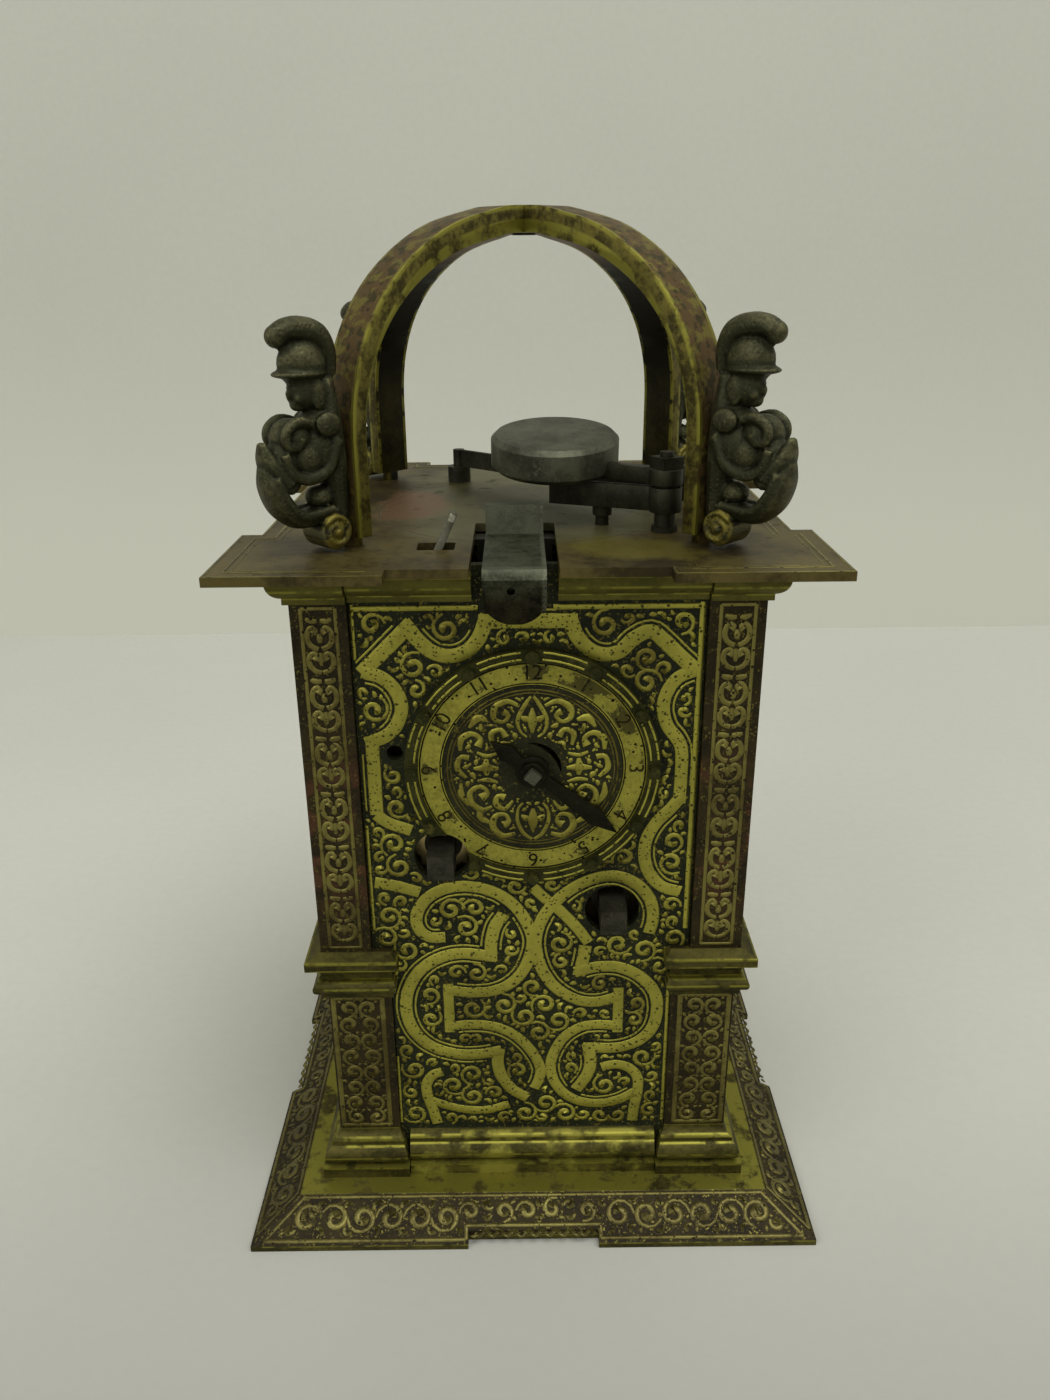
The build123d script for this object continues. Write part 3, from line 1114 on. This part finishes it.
def balance_cock():
    """The cock that carries the verge's back pivot, standing on the back plate."""
    back = FRAME_BACK + FRAME_PLATE
    table = BALANCE_FRONT + BALANCE_THICKNESS + PLAY
    top = ESCAPE_Z + BALANCE_RADIUS + 5.5
    bottom = ESCAPE_Z + BALANCE_RADIUS + 1.0
    cock = block((VERGE_X - 4, back, bottom), (VERGE_X + 4, table, top))
    flat = Pos(VERGE_X, (ESCAPE_Z + top) / 2) * Rectangle(5.0, top - ESCAPE_Z) + Pos(VERGE_X, ESCAPE_Z) * Circle(3.2)
    flat += Pos(VERGE_X, (bottom + top) / 2) * Rectangle(8.0, top - bottom)
    cock += upright(flat, table, 1.3)
    return cock - rod_y((VERGE_X, ESCAPE_Z), PIVOT_RADIUS * 0.7 + BEARING_GAP, table - 1, table + 3)


def escape_potences():
    """The two brackets on the back plate that carry the escape wheel's arbor, and one for the verge."""
    bore = PIVOT_RADIUS * 0.7 + BEARING_GAP
    z, y = ESCAPE_Z, ESCAPE_Y
    left = block((ESCAPE_LEFT_END - 1.2, y - 1.4, z - 1.5), (ESCAPE_LEFT_END - 0.2, FRAME_BACK, z + 1.5))
    low = z - ESCAPE_RADIUS - 3.0
    right = block((ESCAPE_TIP_X + 0.2, y - 1.6, low), (ESCAPE_TIP_X + 1.0, y + 1.6, z + 1.2))
    right += block((ESCAPE_TIP_X + 0.2, y - 1.6, low), (ESCAPE_TIP_X + 2.6, FRAME_BACK, low + 1.6))
    hole = along_x(Circle(bore), ESCAPE_LEFT_END - 3, 20)
    return [left - hole, right - hole]


def verge_potence():
    """The bracket on the front plate for the verge's front pivot."""
    front = FRAME_FRONT + FRAME_PLATE
    end = ESCAPE_Y - ESCAPE_RADIUS - 2.2 - PLAY / 2
    bar = block((VERGE_X - 1.6, front, ESCAPE_Z - 1.6), (VERGE_X + 1.6, end, ESCAPE_Z + 1.6))
    return bar - rod_y((VERGE_X, ESCAPE_Z), PIVOT_RADIUS * 0.7 + BEARING_GAP, end - 1.6, end + 1)


def pin_wheel():
    """Second wheel of the strike train, with pins that lift the hammer's tail."""
    wheel = crossed_wheel(PIN_WHEEL_CENTRE, WHEEL_TEETH, SECOND_MODULE, 0, PIN_WHEEL_FRONT, ARBOR_RADIUS * 0.9)
    pinion_phase = PIN_PINION_PHASE
    leaves = pinion(PIN_WHEEL_CENTRE, PINION_LEAVES, GREAT_MODULE, pinion_phase, GREAT_FRONT - 0.5,
                    WHEEL_THICKNESS + 1.0)
    wheel += leaves + arbor_between_plates(PIN_WHEEL_CENTRE, ARBOR_RADIUS, COUNT_FRONT + 1.4)
    radius = WHEEL_TEETH * SECOND_MODULE / 2 - 1.15 * SECOND_MODULE - 0.6
    for number in range(LIFTING_PINS):
        place = polar(PIN_WHEEL_CENTRE, radius, number * 360 / LIFTING_PINS)
        wheel += rod_y(place, 0.45, PIN_WHEEL_FRONT - 2.2, PIN_WHEEL_FRONT)
    return wheel + pinion(PIN_WHEEL_CENTRE, PINION_LEAVES, COUNT_MODULE, 0, COUNT_FRONT - 0.4, WHEEL_THICKNESS + 0.6)


def hoop_wheel():
    """Third wheel of the strike train, with a locking hoop broken by one gap."""
    wheel = crossed_wheel(HOOP_CENTRE, WHEEL_TEETH, THIRD_MODULE, 0, HOOP_FRONT, ARBOR_RADIUS * 0.9)
    leaves = pinion(HOOP_CENTRE, PINION_LEAVES, SECOND_MODULE, HOOP_PINION_PHASE, PIN_WHEEL_FRONT - 0.4,
                    WHEEL_THICKNESS + 0.8)
    hoop = Circle(6.0) - Circle(5.2) - Pos(6, 0) * Rectangle(3, 3.2)
    bars = Rectangle(11.2, 1.3) + Rectangle(1.3, 11.2)
    ring = upright(Pos(*HOOP_CENTRE) * (hoop + (bars - Circle(5.0) & Circle(5.6))), HOOP_FRONT - 1.8, 1.8)
    return wheel + leaves + ring + arbor_between_plates(HOOP_CENTRE, ARBOR_RADIUS)


def fly():
    """The fly: two vanes that brake the strike."""
    leaves = pinion(FLY_CENTRE, PINION_LEAVES, THIRD_MODULE, FLY_PINION_PHASE, HOOP_FRONT - 0.4,
                    WHEEL_THICKNESS + 0.8)
    vane = Rectangle(2 * FLY_RADIUS, 0.5) + Circle(1.3)
    vanes = upright(Pos(*FLY_CENTRE) * Rot(0, 0, 20) * vane, FLY_FRONT, 7.5)
    return leaves + vanes + arbor_between_plates(FLY_CENTRE, ARBOR_RADIUS * 0.9)


def count_wheel():
    """The wheel whose notches, one to twelve blows apart, count the strike."""
    pitch = COUNT_TEETH * COUNT_MODULE / 2
    rim = pitch - 1.15 * COUNT_MODULE - 1.2
    flat = wheel_outline(COUNT_TEETH, COUNT_MODULE, COUNT_PHASE) - Circle(rim) + Circle(3.0)
    for turn in (0, 90):
        flat += Rot(0, 0, turn) * Rectangle(2 * rim + 0.4, 1.6)
    wheel = upright(flat - Circle(COUNT_STUD_RADIUS + BEARING_GAP), COUNT_FRONT, WHEEL_THICKNESS)
    outer = rim + 0.9
    band = upright(Circle(outer) - Circle(outer - 1.1), COUNT_FRONT + WHEEL_THICKNESS, 1.4)
    blows = 0
    for hour in range(1, HOURS + 1):
        angle = COUNT_PHASE + blows * COUNT_NOTCH_STEP
        notch = Pos(outer - 0.5, 0) * Rectangle(2.4, 0.9)
        band -= upright(Rot(0, 0, angle) * notch, COUNT_FRONT + WHEEL_THICKNESS, 2)
        blows += hour
    return Pos(COUNT_CENTRE[0], 0, COUNT_CENTRE[1]) * (wheel + band)


def frame_corners():
    """The places of the four pillars."""
    x = FRAME_HALF - PILLAR_INSET
    low = FLOOR_TOP + 2 * PILLAR_INSET
    high = FRAME_TOP - PILLAR_INSET / 2
    return [(side * x, level) for side in (-1, 1) for level in (low, high)]


def frame_plate(front):
    """A movement plate with tenons that go through the bottom plate."""
    plate = block((-FRAME_HALF, front, FLOOR_TOP), (FRAME_HALF, front + FRAME_PLATE, FRAME_TOP))
    for x, _ in frame_lugs()[::2]:
        reach = FRAME_LUG_WIDTH / 2
        lug = block((x - reach, front, FLOOR_TOP - BOTTOM_PLATE_THICKNESS), (x + reach, front + FRAME_PLATE, FLOOR_TOP))
        plate += lug
    for corner in frame_corners():
        plate -= rod_y(corner, PILLAR_RADIUS * 0.6, front - 1, front + FRAME_PLATE + 1)
    for centre in (SECOND_CENTRE, CONTRATE_CENTRE, PIN_WHEEL_CENTRE, HOOP_CENTRE, FLY_CENTRE):
        plate -= rod_y(centre, PIVOT_RADIUS + BEARING_GAP, front - 1, front + FRAME_PLATE + 1)
    return plate


def movement_front_plate():
    """Front plate: bores for the dial arbor, both winding arbors and the report pipe."""
    plate = frame_plate(FRAME_FRONT)
    front, back = FRAME_FRONT - 1, FRAME_FRONT + FRAME_PLATE + 1
    plate -= rod_y(DIAL_CENTRE, DIAL_ARBOR_RADIUS + BEARING_GAP, front, back)
    plate -= rod_y(GOING_CENTRE, REPORT_PIPE_RADIUS + BEARING_GAP, front, back)
    plate -= rod_y(STRIKE_CENTRE, BARREL_ARBOR_RADIUS + BEARING_GAP, front, back)
    foot = PLATE_UNDER - HAMMER_ARBOR_DEPTH
    x, y = HAMMER_POST
    lug = block((x - 2, FRAME_FRONT + FRAME_PLATE, foot - FRAME_PLATE), (x + 2, y + 2, foot - SLOT_GAP))
    return plate + lug - rod_z(HAMMER_POST, PIVOT_RADIUS + BEARING_GAP, foot - 4, foot + 1)


def movement_back_plate():
    """Back plate: pivots, the winding arbors' back bearings and the count wheel's stud."""
    plate = frame_plate(FRAME_BACK)
    front, back = FRAME_BACK - 1, FRAME_BACK + FRAME_PLATE + 1
    plate -= rod_y(DIAL_CENTRE, PIVOT_RADIUS + BEARING_GAP, front, back)
    plate -= rod_y((VERGE_X, ESCAPE_Z), VERGE_RADIUS + 0.4, front, back)
    for centre in (GOING_CENTRE, STRIKE_CENTRE):
        plate -= rod_y(centre, BARREL_ARBOR_REAR_RADIUS + BEARING_GAP, front, back)
    return plate + rod_y(COUNT_CENTRE, COUNT_STUD_RADIUS, FRAME_BACK + FRAME_PLATE, COUNT_FRONT + WHEEL_THICKNESS + 0.6)


def movement_pillars():
    """Four turned pillars between the plates, riveted at both ends."""
    pillars = []
    front, back = FRAME_FRONT + FRAME_PLATE, FRAME_BACK
    for corner in frame_corners():
        pillar = rod_y(corner, PILLAR_RADIUS, front, back)
        pillar += rod_y(corner, PILLAR_RADIUS * 0.6, FRAME_FRONT - 0.4, FRAME_BACK + FRAME_PLATE + 0.4)
        pillars.append(pillar)
    return pillars


def build():
    """Every node by name."""
    nodes = {"base_skirt": base_skirt(), "bottom_plate": bottom_plate(), "case_screws": case_screws(), "top_plate": top_plate()}
    for corner, piece in four_quarters(corner_post()).items():
        nodes["post_" + corner] = piece
    sides = four_sides(panel())
    sides["front"] = front_panel()
    for side, piece in sides.items():
        nodes["panel_" + side] = piece
    nodes["handle_arch_over"] = arch(True)
    nodes["handle_arch_under"] = arch(False)
    nodes["crown_rivet"] = crown_rivet()
    for corner, piece in figures().items():
        nodes["figure_" + corner] = piece
    nodes.update({
        "front_latch": front_latch(),
        "latch_bracket": latch_bracket(),
        "latch_pin": latch_pin(),
        "release_lever": release_lever(),
        "release_bracket": release_bracket(),
        "hammer_arbor": hammer_arbor(),
        "hammer_arm": hammer_arm(),
        "hammer_head": hammer_disc() - hammer_arm(),
        "hammer_nut": hammer_nut(),
        "hammer_cock": hammer_cock(),
        "hammer_counter_spring": hammer_counter_spring(),
        "touch_ring": touch_ring(),
        "chapter_ring": chapter_ring(),
        "alarm_disc": alarm_disc(),
        "hour_hand": hour_hand(),
        "hand_washer": hand_washer(),
        "dial_arbor": dial_arbor(),
        "hour_wheel": hour_wheel(),
        "movement_front_plate": movement_front_plate(),
        "movement_back_plate": movement_back_plate(),
        "movement_pillars": movement_pillars(),
        "going_barrel": barrel(GOING_CENTRE, 0) + report_wheel(),
        "second_wheel": second_wheel(),
        "contrate_wheel": contrate_wheel(),
        "escape_wheel": escape_wheel(),
        "escape_potences": escape_potences() + [verge_potence()],
        "verge": verge(),
        "balance": balance(),
        "balance_cock": balance_cock(),
        "strike_barrel": barrel(STRIKE_CENTRE, 0),
        "pin_wheel": pin_wheel(),
        "hoop_wheel": hoop_wheel(),
        "fly": fly(),
        "count_wheel": count_wheel(),
    })
    for train, centre, side in (("going", GOING_CENTRE, -1), ("strike", STRIKE_CENTRE, 1)):
        nodes[train + "_winding_arbor"] = barrel_arbor(centre) + ratchet(centre)
        nodes[train + "_mainspring"] = mainspring(centre)
        nodes[train + "_click"] = click(centre, side)
    return nodes


def write_parts(nodes, folder="parts"):
    """One file per node; a list becomes a group of separate solids."""
    os.makedirs(folder, exist_ok=True)
    for name, piece in nodes.items():
        solids = piece if isinstance(piece, list) else piece.solids()
        shape = Compound(children=list(solids)) if len(solids) > 1 else solids[0]
        shape.label = name
        export_step(shape, os.path.join(folder, name + ".step"))


if __name__ == "__main__":
    write_parts(build())
